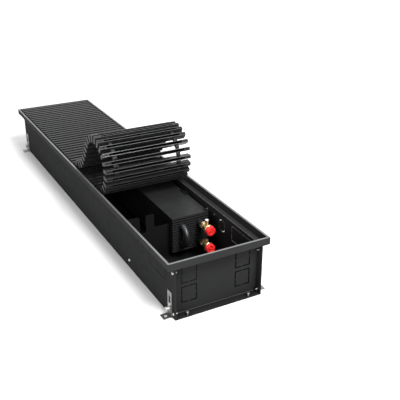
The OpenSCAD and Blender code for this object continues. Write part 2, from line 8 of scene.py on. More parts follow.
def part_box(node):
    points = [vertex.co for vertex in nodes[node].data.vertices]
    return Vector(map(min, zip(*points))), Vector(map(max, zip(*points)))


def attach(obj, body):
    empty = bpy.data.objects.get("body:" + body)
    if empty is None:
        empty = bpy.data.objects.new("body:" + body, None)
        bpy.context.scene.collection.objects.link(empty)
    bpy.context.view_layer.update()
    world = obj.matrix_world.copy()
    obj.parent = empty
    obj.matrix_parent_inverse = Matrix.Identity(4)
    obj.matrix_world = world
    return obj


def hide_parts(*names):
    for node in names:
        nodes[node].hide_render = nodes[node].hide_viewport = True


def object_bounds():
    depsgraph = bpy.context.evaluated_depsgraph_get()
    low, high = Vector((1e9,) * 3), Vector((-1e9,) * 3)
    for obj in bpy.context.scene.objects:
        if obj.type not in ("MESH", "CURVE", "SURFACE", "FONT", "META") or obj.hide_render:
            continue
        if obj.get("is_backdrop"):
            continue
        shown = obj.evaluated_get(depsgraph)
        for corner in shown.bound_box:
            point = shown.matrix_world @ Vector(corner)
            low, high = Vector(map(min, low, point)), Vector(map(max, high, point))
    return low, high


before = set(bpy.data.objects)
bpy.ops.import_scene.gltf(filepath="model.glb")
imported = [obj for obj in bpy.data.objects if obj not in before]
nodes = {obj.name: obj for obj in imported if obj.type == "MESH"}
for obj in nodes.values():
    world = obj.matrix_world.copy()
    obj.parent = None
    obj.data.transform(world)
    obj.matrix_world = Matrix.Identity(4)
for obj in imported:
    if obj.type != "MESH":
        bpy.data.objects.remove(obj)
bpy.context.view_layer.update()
MM = 0.001


# Building blocks of the materials

def new_material(name, metallic=0.0):
    """An empty procedural material, its node tree and its Principled shader."""
    material = bpy.data.materials.new("visual_" + name)
    material.use_nodes = True
    tree = material.node_tree
    tree.nodes.clear()
    out = tree.nodes.new("ShaderNodeOutputMaterial")
    shader = tree.nodes.new("ShaderNodeBsdfPrincipled")
    shader.inputs["Metallic"].default_value = metallic
    tree.links.new(shader.outputs[0], out.inputs["Surface"])
    return material, tree, shader


def place(tree, scale=(1, 1, 1)):
    """Coordinates of the shared frame at rest, in metres, stretched by scale."""
    coord = tree.nodes.new("ShaderNodeTexCoord")
    mapping = tree.nodes.new("ShaderNodeMapping")
    mapping.inputs["Scale"].default_value = scale
    tree.links.new(coord.outputs["Object"], mapping.inputs["Vector"])
    return mapping.outputs[0]


def noise(tree, where, scale, detail, roughness=0.5):
    """Noise with about scale waves to the metre."""
    texture = tree.nodes.new("ShaderNodeTexNoise")
    texture.inputs["Scale"].default_value = scale
    texture.inputs["Detail"].default_value = detail
    texture.inputs["Roughness"].default_value = roughness
    tree.links.new(where, texture.inputs["Vector"])
    return texture.outputs["Fac"]


def remap(tree, value, low, high, start=0.3, end=0.7):
    """Low where the value is start or less, high where it is end or more, and a straight line in between."""
    steps = tree.nodes.new("ShaderNodeMapRange")
    steps.inputs["From Min"].default_value = start
    steps.inputs["From Max"].default_value = end
    steps.inputs["To Min"].default_value = low
    steps.inputs["To Max"].default_value = high
    tree.links.new(value, steps.inputs["Value"])
    return steps.outputs["Result"]


def clouded(tree, texture, dark, light):
    """Colour that wanders between dark and light with the texture."""
    ramp = tree.nodes.new("ShaderNodeValToRGB")
    for stop, position, colour in zip(ramp.color_ramp.elements, (0.35, 0.65), (dark, light)):
        stop.position = position
        stop.color = (*colour, 1)
    tree.links.new(texture, ramp.inputs["Fac"])
    return ramp.outputs["Color"]


def scaled(colour, factor):
    """Colour made darker or lighter, at most white."""
    return tuple(min(c * factor, 1) for c in colour)


def mixed(tree, factor, a, b, blend="MIX"):
    """Colour a blended with b. Each of the three is a node's output or a constant."""
    mix = tree.nodes.new("ShaderNodeMix")
    mix.data_type = "RGBA"
    mix.blend_type = blend
    for name, value in (("Factor", factor), ("A", a), ("B", b)):
        if isinstance(value, bpy.types.NodeSocket):
            tree.links.new(value, mix.inputs[name])
        else:
            mix.inputs[name].default_value = value
    return mix.outputs["Result"]


def shaded(tree, colour, reach, deepest):
    """Painted shade: colour that falls to the share deepest of itself in recesses narrower than reach."""
    # Share of the rays that get away from the tightest recess, and from a face that counts as free
    closed, free = 0.12, 0.50
    occlusion = tree.nodes.new("ShaderNodeAmbientOcclusion")
    occlusion.samples = 8
    occlusion.inputs["Distance"].default_value = reach
    level = remap(tree, occlusion.outputs["AO"], deepest, 1.0, closed, free)
    grey = tree.nodes.new("ShaderNodeCombineColor")
    for part in ("Red", "Green", "Blue"):
        tree.links.new(level, grey.inputs[part])
    return mixed(tree, 1.0, colour, grey.outputs["Color"], "MULTIPLY")


def highlight_above(tree, where, colour, line):
    """Painted highlight: colour that turns to a pale grey above the height line."""
    blur, highlight_grey = 0.4 * MM, (0.09, 0.091, 0.093, 1)
    height = tree.nodes.new("ShaderNodeSeparateXYZ")
    tree.links.new(where, height.inputs[0])
    above = remap(tree, height.outputs["Z"], 0.0, 1.0, line, line + blur)
    return mixed(tree, above, colour, highlight_grey)


def finish(tree, shader, colour, gloss, low, high):
    """Set the shader's colour, and its roughness between low and high with the gloss texture."""
    tree.links.new(colour, shader.inputs["Base Color"])
    tree.links.new(remap(tree, gloss, low, high), shader.inputs["Roughness"])


def bump(tree, shader, height, strength, distance):
    """Give the surface a relief of about this distance, by the height texture."""
    relief = tree.nodes.new("ShaderNodeBump")
    relief.inputs["Strength"].default_value = strength
    relief.inputs["Distance"].default_value = distance
    tree.links.new(height, relief.inputs["Height"])
    tree.links.new(relief.outputs["Normal"], shader.inputs["Normal"])


# Kinds of surface

def powder_coat(name, base, roughness, grain=0.10, specular=0.5, ior=1.5, reach=0.0, deepest=0.2, line=None):
    """Satin powder coat with fine orange peel and slight clouds in colour and gloss."""
    material, tree, shader = new_material(name)
    where = place(tree)
    colour = clouded(tree, noise(tree, where, 9, 4), scaled(base, 0.95), scaled(base, 1.05))
    # Painted shade in the recesses
    if reach:
        colour = shaded(tree, colour, reach, deepest)
    # Painted highlight above the height line
    if line:
        colour = highlight_above(tree, where, colour, line)
    finish(tree, shader, colour, noise(tree, where, 45, 3), roughness - 0.05, roughness + 0.06)
    shader.inputs["Specular IOR Level"].default_value = specular
    shader.inputs["IOR"].default_value = ior
    bump(tree, shader, noise(tree, where, 900, 2), grain, 0.35 * MM)
    return material


def anodised(name, base, roughness, specular):
    """Dark anodised aluminium profile with faint drawing lines along X."""
    material, tree, shader = new_material(name)
    lines = noise(tree, place(tree, (1, 14, 14)), 60, 3)
    colour = clouded(tree, lines, scaled(base, 0.8), scaled(base, 1.25))
    finish(tree, shader, colour, lines, roughness - 0.05, roughness + 0.05)
    shader.inputs["Specular IOR Level"].default_value = specular
    bump(tree, shader, lines, 0.05, 0.2 * MM)
    return material


def zinc_plate(name, dark, light, roughness):
    """Zinc plating with a spangle."""
    material, tree, shader = new_material(name, metallic=1.0)
    where = place(tree)
    colour = clouded(tree, noise(tree, where, 160, 5, 0.6), dark, light)
    finish(tree, shader, colour, noise(tree, where, 320, 3), roughness - 0.1, roughness + 0.1)
    bump(tree, shader, noise(tree, where, 700, 2), 0.08, 0.2 * MM)
    return material


def brass(name):
    """Stained brass with fine grooves round an axis along Y."""
    material, tree, shader = new_material(name, metallic=1.0)
    where = place(tree)
    colour = clouded(tree, noise(tree, where, 70, 5, 0.6), (0.72, 0.49, 0.21), (0.98, 0.79, 0.45))
    finish(tree, shader, colour, noise(tree, where, 240, 3), 0.22, 0.42)
    bump(tree, shader, noise(tree, place(tree, (1, 40, 1)), 60, 2), 0.10, 0.2 * MM)
    return material


def plastic(name, base, roughness, specular=0.5, glow=0.0, reach=0.0, deepest=0.2):
    """Moulded plastic with a fine eroded skin. With a glow, light spreads a little way inside it."""
    material, tree, shader = new_material(name)
    where = place(tree)
    colour = clouded(tree, noise(tree, where, 60, 3), scaled(base, 0.9), scaled(base, 1.1))
    # Painted shade in the recesses
    if reach:
        colour = shaded(tree, colour, reach, deepest)
    finish(tree, shader, colour, noise(tree, where, 400, 3), roughness - 0.06, roughness + 0.06)
    shader.inputs["Specular IOR Level"].default_value = specular
    if glow:
        shader.inputs["Subsurface Weight"].default_value = glow
        shader.inputs["Subsurface Radius"].default_value = (4 * MM, 1 * MM, 0.8 * MM)
        shader.inputs["Subsurface Scale"].default_value = 0.5
    bump(tree, shader, noise(tree, where, 1400, 2), 0.12, 0.15 * MM)
    return material


# The materials: a low index of refraction keeps a paint dark where it is seen at a grazing angle

# Height above which the lip of the right rail gets a painted highlight
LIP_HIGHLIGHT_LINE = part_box("side_rail_right")[1].z - 1.3 * MM
# Inside the trough the casing paint darkens with painted shade
casing_paint = powder_coat("casing_paint", (0.0180, 0.0183, 0.0189), 0.60, ior=1.06, reach=0.16, deepest=0.03)
# A darker copy of the casing paint, as painted shade, for the trough's floor inside and the parts within it
inner_shade_paint = powder_coat("inner_shade_paint", (0.0090, 0.0092, 0.0096), 0.56, ior=1.10, reach=0.16, deepest=0.04)
# Near-black painted shade for the walls of the end plates' knock-out slots
slot_shade = powder_coat("slot_shade", (0.0012, 0.0012, 0.0013), 0.80, ior=1.05)
rim_paint = powder_coat("rim_paint", (0.0230, 0.0233, 0.0239), 0.56, ior=1.07)
# The right rail's lip carries a painted highlight above its height line
lip_paint = powder_coat("lip_paint", (0.0205, 0.0208, 0.0214), 0.56, ior=1.10, line=LIP_HIGHLIGHT_LINE)
# Painted highlight for the rim's top faces and the ledge's inner edge
rim_highlight = powder_coat("rim_highlight", (0.10, 0.101, 0.103), 0.34)
# Painted highlight along the top of the floor folds
fold_highlight = powder_coat("fold_highlight", (0.060, 0.0605, 0.062), 0.40)
# Painted highlight for the cut edges of the right wall's knock-outs
knockout_highlight = powder_coat("knockout_highlight", (0.13, 0.13, 0.132), 0.40)
# The fins, the exchanger's end plates and the tubes darken with painted shade in their recesses
fin_paint = powder_coat("fin_paint", (0.0155, 0.0158, 0.0164), 0.45,
                        grain=0.05, specular=0.2, reach=0.05, deepest=0.3)
end_paint = powder_coat("end_paint", (0.009, 0.0092, 0.0098), 0.55,
                        grain=0.05, specular=0.08, reach=0.03, deepest=0.15)
tube_paint = powder_coat("tube_paint", (0.012, 0.013, 0.015), 0.34, grain=0.05, reach=0.05, deepest=0.3)
bar_metal = anodised("bar_metal", (0.0155, 0.0157, 0.0162), 0.25, specular=0.09)
# Lighter copy of the bar metal as a painted highlight on cut edges, near-black copy as painted shade inside
bar_edge_highlight = anodised("bar_edge_highlight", (0.072, 0.073, 0.075), 0.30, specular=0.30)
bar_inside_shade = anodised("bar_inside_shade", (0.003, 0.003, 0.0032), 0.40, specular=0.05)
plug_plastic = plastic("plug_plastic", (0.012, 0.012, 0.0126), 0.42, specular=0.15)
spacer_plastic = plastic("spacer_plastic", (0.012, 0.012, 0.013), 0.5, specular=0.2)
# The cap's face groove darkens with painted shade
cap_plastic = plastic("cap_plastic", (0.86, 0.030, 0.028), 0.32, glow=0.15, reach=0.004, deepest=0.12)
zinc = zinc_plate("zinc", (0.50, 0.50, 0.49), (0.86, 0.86, 0.84), 0.36)
bolt_zinc = zinc_plate("bolt_zinc", (0.30, 0.30, 0.29), (0.60, 0.60, 0.58), 0.40)
bracket_zinc = zinc_plate("bracket_zinc", (0.13, 0.13, 0.125), (0.30, 0.30, 0.29), 0.46)
valve_brass = brass("valve_brass")

RIM = ["side_rail_left", "side_rail_right", "end_rail_near", "end_rail_far"]
FINISH = [
    (casing_paint, ["trough", "end_plate_near", "end_plate_far"]),
    (inner_shade_paint, ["partition_plate", "exchanger_saddles", "exchanger_hangers"]),
    (lip_paint, ["side_rail_right"]),
    (rim_paint, ["side_rail_left", "side_ledges", "end_rail_near", "end_rail_far"]),
    (fin_paint, ["exchanger_fins"]),
    (end_paint, ["exchanger_end_plates"]),
    (tube_paint, ["exchanger_tubes", "return_bend_near", "return_bends_far"]),
    (bar_metal, ["grille_bars"]),
    (plug_plastic, ["grille_end_plugs"]),
    (spacer_plastic, ["grille_spacers"]),
    (cap_plastic, ["flow_cap", "return_cap"]),
    (valve_brass, ["flow_valve", "return_valve"]),
    (zinc, ["wall_screws", "air_vent"]),
    (bolt_zinc, ["end_plate_screws", "foot_clamp_bolts", "foot_guide_screws"]),
    (bracket_zinc, ["floor_screws", "foot_near_left", "foot_near_right", "foot_far_left", "foot_far_right"]),
]
for material, names in FINISH:
    for name in names:
        nodes[name].data.materials.clear()
        nodes[name].data.materials.append(material)


# Faces of the CAD nodes with a material of their own

def repaint(mesh, material, chosen):
    """Give the material to those faces of the mesh for which chosen says yes."""
    mesh.materials.append(material)
    for face in mesh.polygons:
        if chosen(face):
            face.material_index = len(mesh.materials) - 1


# The trough's floor inside takes the darker inner paint, which is painted shade. The cut edges of the
# knock-outs in its right wall, which lie between the wall's two sides, carry a painted highlight
FLOOR_TOP, WALL_INSIDE, WALL_TOP, WALL_HALF_LENGTH = 5 * MM, 110.5 * MM, 126 * MM, 604 * MM
trough = nodes["trough"].data
repaint(trough, inner_shade_paint, lambda face: face.normal.z > 0.9 and face.center.z < FLOOR_TOP)
repaint(trough, knockout_highlight, lambda face: (
    abs(face.normal.x) < 0.5 and face.center.x > WALL_INSIDE and FLOOR_TOP < face.center.z < WALL_TOP
    and abs(face.center.y) < WALL_HALF_LENGTH))

# The cut walls of the end plates' knock-out slots are painted near-black as shade. A plate lies within
# PLATE_END of the middle and its flanges beyond, and no slot is past the other three limits
PLATE_END, SLOTS_SIDE, SLOTS_LOW, SLOTS_HIGH = 590 * MM, 104 * MM, 8 * MM, 122 * MM
for name in ("end_plate_near", "end_plate_far"):
    repaint(nodes[name].data, slot_shade, lambda face: (
        abs(face.normal.y) < 0.5 and abs(face.center.y) < PLATE_END and abs(face.center.x) < SLOTS_SIDE
        and SLOTS_LOW < face.center.z < SLOTS_HIGH))

# The upper screws of the left wall are painted with it
UPPER_SCREWS_LOW = 100 * MM
repaint(nodes["wall_screws"].data, casing_paint,
        lambda face: face.center.x < 0 and face.center.z > UPPER_SCREWS_LOW)

# The rim's upper faces carry a painted highlight
HIGHLIGHT_DEPTH = 3 * MM
for name in RIM:
    rim = nodes[name].data
    rim_top = max(v.co.z for v in rim.vertices)
    repaint(rim, rim_highlight, lambda face: face.normal.z > 0.6 and face.center.z > rim_top - HIGHLIGHT_DEPTH)


# Materials of the rolled bars, whose nodes each hold a bar, two spacers and two end plugs

def shells(mesh):
    """Number of the closed shell that each vertex belongs to."""
    parent = list(range(len(mesh.vertices)))

    def root(a):
        while parent[a] != a:
            parent[a] = parent[parent[a]]
            a = parent[a]
        return a

    seen = {}
    for v in mesh.vertices:
        key = tuple(round(c, 6) for c in v.co)
        if key in seen:
            parent[root(v.index)] = root(seen[key])
        else:
            seen[key] = v.index
    for edge in mesh.edges:
        parent[root(edge.vertices[0])] = root(edge.vertices[1])
    return [root(i) for i in range(len(parent))]


# The bar's cut edges carry a painted highlight and its inside faces painted shade
ROLLED = (bar_metal, spacer_plastic, plug_plastic, bar_edge_highlight, bar_inside_shade)
OUTSIDE, SPACER, PLUG, CUT, INSIDE = range(len(ROLLED))
# The bar is the only piece longer than BAR_SPAN, and the middle of a plug is further out than PLUG_MIDDLE
BAR_SPAN, PLUG_MIDDLE = 200 * MM, 100 * MM
# A bar is a U of sheet that opens downwards: widths, across the bar, of its cut edges and of its inside faces
CUT_MOST, INSIDE_TOP_MOST, INSIDE_LEG, LEG_MATCH = 2 * MM, 7 * MM, 17 * MM, 0.3 * MM


def rolled_material(mesh, face, low, high):
    """Index of the material of a face that belongs to the piece from low to high along X."""
    if high - low > BAR_SPAN:
        section = [mesh.vertices[i].co.yz for i in face.vertices]
        width = max((a - b).length for a in section for b in section)
        if width < CUT_MOST:
            return CUT
        return INSIDE if width < INSIDE_TOP_MOST or abs(width - INSIDE_LEG) < LEG_MATCH else OUTSIDE
    return PLUG if abs(low + high) / 2 > PLUG_MIDDLE else SPACER


links = sorted(n for n in nodes if n.startswith("grille_link_"))
for name in links:
    mesh = nodes[name].data
    mesh.materials.clear()
    for material in ROLLED:
        mesh.materials.append(material)
    shell = shells(mesh)
    spans = {}
    for v in mesh.vertices:
        low, high = spans.get(shell[v.index], (v.co.x, v.co.x))
        spans[shell[v.index]] = (min(low, v.co.x), max(high, v.co.x))
    for face in mesh.polygons:
        face.material_index = rolled_material(mesh, face, *spans[shell[face.vertices[0]]])


# Rounded edges

def soften(name, width):
    """Small rounded edges on a sheet-metal node, by modifiers."""
    weld = nodes[name].modifiers.new("weld", "WELD")
    weld.merge_threshold = 0.01 * MM
    edge = nodes[name].modifiers.new("edge", "BEVEL")
    edge.width = width
    edge.segments = 2
    edge.limit_method = "ANGLE"
    edge.angle_limit = math.radians(50)
    edge.use_clamp_overlap = True
    edge.harden_normals = False


for name in RIM + ["side_ledges"]:
    soften(name, 0.4 * MM)
for name in ["grille_bars"] + links:
    soften(name, 0.3 * MM)


# Solids, each a list of points and a list of faces

def prism(start, end):
    """Solid between two outlines with the same number of points."""
    n = len(start)
    sides = [[i, (i + 1) % n, n + (i + 1) % n, n + i] for i in range(n)]
    return start + end, sides + [list(range(n))[::-1], list(range(n, 2 * n))]


def block(low, high, edge):
    """Bar whose face towards -Y is chamfered all round."""
    (x0, y0, z0), (x1, y1, z1) = low, high
    back = [(x0, y1, z0), (x1, y1, z0), (x1, y1, z1), (x0, y1, z1)]
    front = [(x0 + edge, y0, z0 + edge), (x1 - edge, y0, z0 + edge), (x1 - edge, y0, z1 - edge),
             (x0 + edge, y0, z1 - edge)]
    return prism(back, front)


def turned(profile, centre, along, segments, wave=None):
    """Solid of revolution: (radius, distance) points about the axis along "y" or "z" through centre."""
    points, faces = [], []
    for k in range(segments):
        angle = 2 * math.pi * k / segments
        for radius, distance in profile:
            r = radius + (wave(k, radius) if wave else 0.0)
            a, b = centre[0] + r * math.cos(angle), centre[1] + r * math.sin(angle)
            points.append((a, distance, b) if along == "y" else (a, b, distance))
    n = len(profile)
    for k in range(segments):
        this, following = k * n, (k + 1) % segments * n
        for i in range(n):
            j = (i + 1) % n
            faces.append([this + i, this + j, following + j, following + i])
    return points, faces


def together(solids):
    """Several solids as one."""
    points, faces = [], []
    for more_points, more_faces in solids:
        first = len(points)
        points += more_points
        faces += [[i + first for i in face] for face in more_faces]
    return points, faces


def in_scene(name, data):
    """New object of the mesh, lamp or camera data, put into the scene."""
    piece = bpy.data.objects.new(name, data)
    bpy.context.scene.collection.objects.link(piece)
    return piece


def add_solid(name, solid, material, crease=35):
    """Object of a solid, smooth where its faces meet at less than crease degrees."""
    points, faces = solid
    mesh = bpy.data.meshes.new(name)
    mesh.from_pydata(points, [], faces)
    shape = bmesh.new()
    shape.from_mesh(mesh)
    bmesh.ops.recalc_face_normals(shape, faces=shape.faces)
    shape.to_mesh(mesh)
    shape.free()
    mesh.materials.append(material)
    if crease:
        mesh.polygons.foreach_set("use_smooth", [True] * len(mesh.polygons))
        mesh.set_sharp_from_angle(angle=math.radians(crease))
    return in_scene(name, mesh)


# End plates with wider knock-out slots than the CAD's, as the photograph shows them: a copy of each plate

SQUARE_X, SQUARE_HEIGHTS = 69.5 * MM, (49.5 * MM, 100.0 * MM)
SQUARES = [(side * SQUARE_X, z) for side in (-1, 1) for z in SQUARE_HEIGHTS]
SQUARE_HALF_W, SQUARE_HALF_H, SLOT = 19.0 * MM, 20.0 * MM, 1.2 * MM
# How far a slot's outer wall moves outwards and its inner wall inwards: along X by the side of the square
OUT_X, IN_X = {1: 1.5 * MM, -1: 0.4 * MM}, {1: 0.2 * MM, -1: 1.3 * MM}
OUT_Z, IN_Z = 1.0 * MM, 0.5 * MM
MATCH = 0.05 * MM


def slot_shift(distance, half, outwards, inwards):
    """Shift of a point at this distance from a square's middle: the slot's walls move and all else stays."""
    if abs(abs(distance) - half) < MATCH:
        return math.copysign(outwards, distance)
    if abs(abs(distance) - half + SLOT) < MATCH:
        return -math.copysign(inwards, distance)
    return 0.0


def widen_slots(mesh):
    """Widen the slots round the square knock-outs of an end plate."""
    for v in mesh.vertices:
        for x, z in SQUARES:
            dx, dz = v.co.x - x, v.co.z - z
            near = abs(dx) < SQUARE_HALF_W + 2 * MATCH and abs(dz) < SQUARE_HALF_H + 2 * MATCH
            if near and abs(v.co.y) < PLATE_END:
                side = 1 if dx > 0 else -1
                v.co.x += slot_shift(dx, SQUARE_HALF_W, OUT_X[side], IN_X[side])
                v.co.z += slot_shift(dz, SQUARE_HALF_H, OUT_Z, IN_Z)
                break


for name in ("end_plate_near", "end_plate_far"):
    punched = in_scene(name + "_punched", nodes[name].data.copy())
    widen_slots(punched.data)
    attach(punched, "casing")
    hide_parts(name)


# Fins of the heat exchanger: thin sheets whose upper and lower edges are folded towards the next sheet

FIN_PITCH, FIN_SHEET = 3.2 * MM, 0.25 * MM
FIN_FOLD = 0.86 * FIN_PITCH


def fin_pack(low, high):
    """Sheets across X, one every FIN_PITCH along Y, as many as fit between low and high."""
    bottom, top = low.z + FIN_SHEET, high.z - FIN_SHEET
    section = [(0, low.z), (FIN_FOLD, low.z), (FIN_FOLD, bottom), (FIN_SHEET, bottom), (FIN_SHEET, top),
               (FIN_FOLD, top), (FIN_FOLD, high.z), (0, high.z)]
    count = int((high.y - low.y - FIN_FOLD) / FIN_PITCH) + 1
    sheets = []
    for k in range(count):
        outline = [(low.y + k * FIN_PITCH + dy, z) for dy, z in section]
        sheets.append(prism([(low.x, y, z) for y, z in outline], [(high.x, y, z) for y, z in outline]))
    return together(sheets)


fins = add_solid("fin_sheets", fin_pack(*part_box("exchanger_fins")), fin_paint, crease=0)
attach(fins, "casing")
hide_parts("exchanger_fins")


# Valves and caps, turned about their tube's axis. AXIS_R keeps a profile's middle points off that axis

AXIS_R = 0.01 * MM
BORE_R, SEAT_R, TUBE_R = 7.0 * MM, 7.75 * MM, 8.03 * MM
THREAD_R, THREAD_DEPTH, THREAD_PITCH, LEAD_IN, SPIGOT_L = 10.48 * MM, 1.1 * MM, 1.814 * MM, 0.8 * MM, 5.7 * MM
FLANGE_R, FLANGE_L, FLANGE_TAPER, BARREL_R = 13.4 * MM, 5.0 * MM, 1.5 * MM, 9.6 * MM
NUT_R, NUT_L, NUT_FROM_REAR, SLEEVE_R = 11.2 * MM, 11 * MM, 24 * MM, 8.9 * MM
BOSS_R, BOSS_HOLE_R, BOSS_FOOT = 4.4 * MM, 1.56 * MM, 9 * MM
CAP_R, CAP_INNER_R, CAP_L, CAP_FLOOR, CAP_SETBACK = 12.0 * MM, 10.65 * MM, 9.0 * MM, 3.2 * MM, 0.3 * MM
HEM_R, RIB = CAP_R + 0.6 * MM, 0.25 * MM
GROOVE_INNER_R, GROOVE_OUTER_R, GROOVE_DEPTH = 3.3 * MM, 7.1 * MM, 2.4 * MM
GRIP_HALF_L, GRIP_HALF_W, GRIP_DEPTH, GRIP_EDGE = 7.2 * MM, 1.2 * MM, 2.5 * MM, 0.3 * MM


def valve_profile(tip, nut_y):
    """Threaded spigot from the tip, flange, and the slimmer barrel up to the nut."""
    root, flange = THREAD_R - THREAD_DEPTH, tip + SPIGOT_L
    rear = flange + FLANGE_L
    profile = [(root, tip)]
    y = tip + LEAD_IN
    while y + THREAD_PITCH < flange:
        profile += [(root, y), (THREAD_R, y + THREAD_PITCH * 0.45), (THREAD_R, y + THREAD_PITCH * 0.55)]
        y += THREAD_PITCH
    return profile + [
        (root, flange), (FLANGE_R - 0.5 * MM, flange), (FLANGE_R, flange + 0.5 * MM),
        (FLANGE_R, rear - 0.5 * MM), (FLANGE_R - 0.6 * MM, rear), (BARREL_R, rear + FLANGE_TAPER),
        (BARREL_R, nut_y), (TUBE_R, nut_y), (BORE_R, nut_y - 0.3 * MM), (BORE_R, flange), (SEAT_R, flange),
        (SEAT_R, tip)]


def nut_profile(nut_y):
    """Nut with chamfered corners."""
    end = nut_y + NUT_L
    return [(TUBE_R, nut_y), (NUT_R - 1.0 * MM, nut_y), (NUT_R, nut_y + 0.8 * MM), (NUT_R, end - 0.8 * MM),
            (NUT_R - 1.0 * MM, end), (TUBE_R, end)]


def sleeve_profile(nut_y, rear):
    """Tube end between the nut and the heat exchanger."""
    start = nut_y + NUT_L
    return [(TUBE_R, start), (SLEEVE_R, start), (SLEEVE_R, rear - 0.6 * MM), (TUBE_R + 0.3 * MM, rear),
            (TUBE_R, rear)]


def boss_profile(axis_z, top):
    """Boss that stands on the barrel, with the vent's hole."""
    foot = axis_z + BOSS_FOOT
    return [(BOSS_HOLE_R, foot), (BOSS_R, foot), (BOSS_R, top - 0.5 * MM), (BOSS_R - 0.5 * MM, top),
            (BOSS_HOLE_R, top)]


def cap_profile(face):
    """Cap with a ring groove in its face, a ribbed skirt and a thicker hem."""
    groove, inside, hem = face + GROOVE_DEPTH, face + CAP_FLOOR, face + CAP_L
    return [(AXIS_R, face), (GROOVE_INNER_R - 0.3 * MM, face), (GROOVE_INNER_R, face + 0.3 * MM),
            (GROOVE_INNER_R + 0.2 * MM, groove), (GROOVE_OUTER_R - 0.2 * MM, groove),
            (GROOVE_OUTER_R, face + 0.3 * MM), (GROOVE_OUTER_R + 0.3 * MM, face), (CAP_R - 1.5 * MM, face),
            (CAP_R - 0.4 * MM, face + 0.4 * MM), (CAP_R, face + 1.4 * MM), (CAP_R, hem - 1.5 * MM),
            (HEM_R, hem - 1.2 * MM), (HEM_R, hem), (CAP_INNER_R, hem), (CAP_INNER_R, inside),
            (AXIS_R, inside)]


def ribs(k, radius):
    """Ribs along the cap's skirt, two points high and two low."""
    return RIB * (1 if k % 4 < 2 else -1) if radius == CAP_R else 0.0


vent_low, vent_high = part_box("air_vent")
vent_x, vent_y = (vent_low.x + vent_high.x) / 2, (vent_low.y + vent_high.y) / 2
for side in ("flow", "return"):
    low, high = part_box(side + "_valve")
    cap_front, cap_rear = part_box(side + "_cap")
    x, z = (cap_front.x + cap_rear.x) / 2, (cap_front.z + cap_rear.z) / 2
    nut_y = high.y - NUT_FROM_REAR
    valve = add_solid(side + "_valve_turned",
                      together([turned(valve_profile(low.y, nut_y), (x, z), "y", 48),
                                turned(nut_profile(nut_y), (x, z), "y", 6),
                                turned(boss_profile(z, high.z), (x, vent_y), "z", 24)]), valve_brass)
    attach(valve, "casing")
    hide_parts(side + "_valve")
    tube_end = add_solid(side + "_tube_sleeve",
                         turned(sleeve_profile(nut_y, high.y), (x, z), "y", 40), tube_paint)
    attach(tube_end, "casing")

    # A bar across the cap's face bridges its groove
    face = cap_front.y + CAP_SETBACK
    grip = block((x - GRIP_HALF_L, face, z - GRIP_HALF_W),
                 (x + GRIP_HALF_L, face + GRIP_DEPTH, z + GRIP_HALF_W), GRIP_EDGE)
    cap = add_solid(side + "_cap_moulded",
                    together([turned(cap_profile(face), (x, z), "y", 96, ribs), grip]), cap_plastic)
    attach(cap, side + "_cap")
    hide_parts(side + "_cap")


# Knurled knob of the air vent, with a hollow in its top

KNOB_R, KNOB_H, KNURL, STEM_R = 5.6 * MM, 5.97 * MM, 0.35 * MM, 1.5 * MM
HOLLOW_R, HOLLOW_DEPTH = 2.6 * MM, 1.4 * MM


def knob_profile(foot, top):
    """Stem from the foot, and the knob on it up to the top."""
    under = top - KNOB_H
    return [(AXIS_R, foot), (STEM_R, foot), (STEM_R, under), (KNOB_R - 0.6 * MM, under),
            (KNOB_R, under + 0.6 * MM), (KNOB_R, top - 1.2 * MM), (KNOB_R - 0.8 * MM, top - 0.3 * MM),
            (HOLLOW_R + 0.6 * MM, top), (HOLLOW_R, top - HOLLOW_DEPTH), (AXIS_R, top - HOLLOW_DEPTH)]


def knurling(k, radius):
    """Grooves down the knob's side, at every second point."""
    return -KNURL * (k % 2) if radius == KNOB_R else 0.0


vent = add_solid("vent_knob",
                 turned(knob_profile(vent_low.z, vent_high.z), (vent_x, vent_y), "z", 48, knurling), zinc)
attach(vent, "air_vent")
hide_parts("air_vent")


# The ledge is the foot of the rim's profile: it runs on under the rim, and its inner edge is rolled, with a
# painted highlight along it

LEDGE_INNER, LEDGE_OUTER, LEDGE_ROLL = 111.0 * MM, 126.0 * MM, 0.7 * MM
low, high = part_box("side_ledges")
section = [(LEDGE_OUTER, high.z - 0.05 * MM), (LEDGE_INNER + 1.2 * MM, high.z),
           (LEDGE_INNER + 0.4 * MM, high.z - 0.25 * MM), (LEDGE_INNER, high.z - LEDGE_ROLL),
           (LEDGE_INNER, low.z + 0.4 * MM), (LEDGE_INNER + 0.4 * MM, low.z), (LEDGE_OUTER, low.z)]
ledges = [prism([(side * x, low.y, z) for x, z in section], [(side * x, high.y, z) for x, z in section])
          for side in (-1, 1)]
ledge = add_solid("ledge_profiles", together(ledges), rim_paint)
repaint(ledge.data, rim_highlight,
        lambda face: abs(face.center.x) < LEDGE_INNER + LEDGE_ROLL and abs(face.normal.y) < 0.5)
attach(ledge, "casing")
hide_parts("side_ledges")


# The upturned edge of the floor's flange before each end plate, with a painted highlight along its top

PLATE_FACE, FOLD_HALF, FOLD_FOOT, FOLD_TOP, FOLD_THICK = 587.0 * MM, 103.0 * MM, 2.9 * MM, 5.6 * MM, 1.0 * MM
section = [(PLATE_FACE, FOLD_FOOT), (PLATE_FACE, FOLD_TOP), (PLATE_FACE + FOLD_THICK, FOLD_TOP - 0.3 * MM),
           (PLATE_FACE + FOLD_THICK, FOLD_FOOT)]
folds = [prism([(-FOLD_HALF, end * y, z) for y, z in section], [(FOLD_HALF, end * y, z) for y, z in section])
         for end in (-1, 1)]
fold = add_solid("floor_folds", together(folds), casing_paint)
repaint(fold.data, fold_highlight, lambda face: face.normal.z > 0.5)
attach(fold, "casing")


# World and floor

